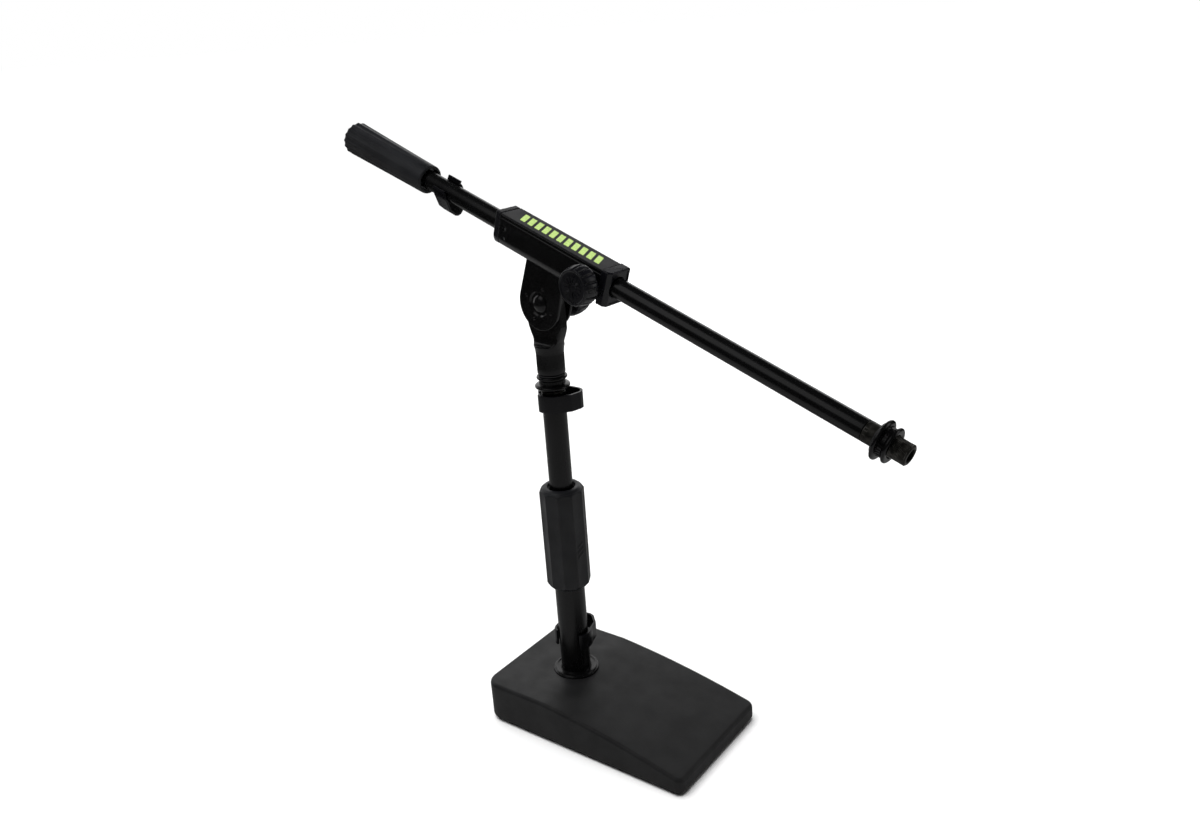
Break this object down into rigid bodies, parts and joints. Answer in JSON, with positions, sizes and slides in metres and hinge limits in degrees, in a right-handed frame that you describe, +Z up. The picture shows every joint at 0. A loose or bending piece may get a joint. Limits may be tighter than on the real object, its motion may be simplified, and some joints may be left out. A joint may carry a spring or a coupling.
{
  "type": "boom microphone stand",
  "caption": "Low microphone stand: heavy wedge base, twist-lock height column, tilting and sliding boom with counterweight, threaded mic stud and cable clips.",
  "frame": {"origin": "column axis at the plane the stand rests on, the underside of the rubber pad", "axes": "+Z up along the column, +X towards the thin front end of the base, the boom points towards +X with its front end low"},
  "size_m": [0.5602, 0.127, 0.5296],
  "materials": {
    "cast_iron_black": "fine textured satin black powder coat",
    "pad_rubber": "matte black, fine pebble",
    "grip_rubber": "soft touch, faintly blue black",
    "gloss_black_tube": "gloss black over steel tube",
    "satin_black_metal": "satin black enamel",
    "cover_black": "fine satin dark grey",
    "black_plastic": "fine spark eroded black",
    "black_nylon": "slightly waxy dark grey",
    "zinc_steel": "zinc plated",
    "brass": "turned",
    "stud_steel": "blackened thread, bright end face"
  },
  "bodies": {
    "base": {"base_casting": "cast_iron_black", "base_pad": "pad_rubber", "base_bolt": "zinc_steel", "base_washer": "zinc_steel", "tube_foot_plug": "zinc_steel", "base_collar": "satin_black_metal", "lower_tube": "gloss_black_tube", "clutch_collar": "black_nylon"},
    "clutch_collet": {"clutch_collet": "black_nylon"},
    "clutch": {"clutch_shell": "black_nylon", "clutch_grip": "grip_rubber"},
    "lower_clip": {"lower_cable_clip": "black_plastic"},
    "mast_guide": {"mast_guide": "black_nylon"},
    "mast": {"upper_tube": "gloss_black_tube", "mast_end_plug": "black_nylon", "mast_top_stud": "zinc_steel", "swivel_neck": "satin_black_metal", "friction_washer_near": "black_nylon", "friction_washer_far": "black_nylon"},
    "mid_clip": {"mid_cable_clip": "black_plastic"},
    "column_nut_washer": {"column_nut_washer": "black_nylon"},
    "column_nut": {"column_lock_nut": "satin_black_metal"},
    "head": {"clamp_housing": "satin_black_metal", "housing_cover": "cover_black", "rear_cap": "black_plastic", "front_cap": "black_plastic", "cap_pin_upper": "zinc_steel", "cap_pin_lower": "zinc_steel", "clamp_nut": "brass", "pivot_bolt": "satin_black_metal", "pivot_spring_washer": "zinc_steel"},
    "pivot_thrust_washer": {"pivot_thrust_washer": "zinc_steel"},
    "pivot_knob": {"pivot_knob": "black_plastic", "pivot_knob_nut": "brass"},
    "clamp_shoe": {"clamp_shoe": "black_nylon"},
    "clamp_knob": {"clamp_knob": "black_plastic", "clamp_screw": "zinc_steel"},
    "boom_liner": {"boom_liner": "black_nylon"},
    "boom": {"boom_tube": "gloss_black_tube", "boom_end_stud": "stud_steel", "counterweight_core": "zinc_steel", "counterweight_slug": "zinc_steel", "counterweight_sleeve": "grip_rubber"},
    "boom_clip": {"boom_cable_clip": "black_plastic"},
    "boom_nut_washer": {"boom_nut_washer": "black_nylon"},
    "boom_nut": {"boom_lock_nut": "satin_black_metal"}
  },
  "joints": [
    {"name": "clutch_collet_lift", "type": "slide", "parent": "base", "child": "clutch_collet", "axis": [0, 0, 1], "range_m": [0, 0.0016]},
    {"name": "clutch_turn", "type": "hinge", "parent": "clutch_collet", "child": "clutch", "pos_m": [0, 0, 0.177], "axis": [0, 0, 1], "range_deg": [0, 180]},
    {"name": "lower_clip_turn", "type": "hinge", "parent": "base", "child": "lower_clip", "pos_m": [0, 0, 0.0735], "axis": [0, 0, 1], "continuous": true},
    {"name": "mast_height", "type": "slide", "parent": "base", "child": "mast_guide", "axis": [0, 0, 1], "range_m": [-0.068, 0.045]},
    {"name": "mast_swivel", "type": "hinge", "parent": "mast_guide", "child": "mast", "pos_m": [0, 0, 0.145], "axis": [0, 0, 1], "continuous": true},
    {"name": "mid_clip_turn", "type": "hinge", "parent": "mast", "child": "mid_clip", "pos_m": [0, 0, 0.306], "axis": [0, 0, 1], "continuous": true},
    {"name": "column_nut_washer_drop", "type": "slide", "parent": "mast", "child": "column_nut_washer", "axis": [0, 0, 1], "range_m": [-0.0018, 0]},
    {"name": "column_nut_turn", "type": "hinge", "parent": "column_nut_washer", "child": "column_nut", "pos_m": [0, 0, 0.3235], "axis": [0, 0, 1], "range_deg": [-630, 0]},
    {"name": "boom_tilt", "type": "hinge", "parent": "mast", "child": "head", "pos_m": [0, 0, 0.3916], "axis": [0.1054, 0.9944, 0], "range_deg": [-83, 46]},
    {"name": "pivot_washer_release", "type": "slide", "parent": "head", "child": "pivot_thrust_washer", "axis": [0.1054, 0.9944, 0], "range_m": [0, 0.0019]},
    {"name": "pivot_knob_turn", "type": "hinge", "parent": "pivot_thrust_washer", "child": "pivot_knob", "pos_m": [0.00316, 0.02983, 0.3916], "axis": [0.1054, 0.9944, 0], "range_deg": [0, 540]},
    {"name": "clamp_shoe_release", "type": "slide", "parent": "head", "child": "clamp_shoe", "axis": [-0.1054, -0.9944, 0], "range_m": [0, 0.0019]},
    {"name": "clamp_knob_turn", "type": "hinge", "parent": "clamp_shoe", "child": "clamp_knob", "pos_m": [0.05908, -0.02839, 0.41833], "axis": [-0.1054, -0.9944, 0], "range_deg": [0, 540]},
    {"name": "boom_roll", "type": "hinge", "parent": "head", "child": "boom_liner", "pos_m": [0.01443, -0.00153, 0.43536], "axis": [0.9439, -0.1, -0.3147], "continuous": true},
    {"name": "boom_reach", "type": "slide", "parent": "boom_liner", "child": "boom", "axis": [0.9439, -0.1, -0.3147], "range_m": [-0.225, 0.055]},
    {"name": "boom_clip_turn", "type": "hinge", "parent": "boom", "child": "boom_clip", "pos_m": [-0.10677, 0.01132, 0.47576], "axis": [0.9439, -0.1, -0.3147], "continuous": true},
    {"name": "boom_nut_washer_travel", "type": "slide", "parent": "boom", "child": "boom_nut_washer", "axis": [0.9439, -0.1, -0.3147], "range_m": [0, 0.0048]},
    {"name": "boom_nut_turn", "type": "hinge", "parent": "boom_nut_washer", "child": "boom_nut", "pos_m": [0.3077, -0.03261, 0.33759], "axis": [0.9439, -0.1, -0.3147], "range_deg": [0, 1800]}
  ],
  "couplings": [
    {"joint": "clutch_collet_lift", "follows": "clutch_turn", "m_per_rad": 0.00047746},
    {"joint": "column_nut_washer_drop", "follows": "column_nut_turn", "m_per_rad": 0.00014976},
    {"joint": "pivot_washer_release", "follows": "pivot_knob_turn", "m_per_rad": 0.00019894},
    {"joint": "clamp_shoe_release", "follows": "clamp_knob_turn", "m_per_rad": 0.00019894},
    {"joint": "boom_nut_washer_travel", "follows": "boom_nut_turn", "m_per_rad": 0.00014976}
  ]
}
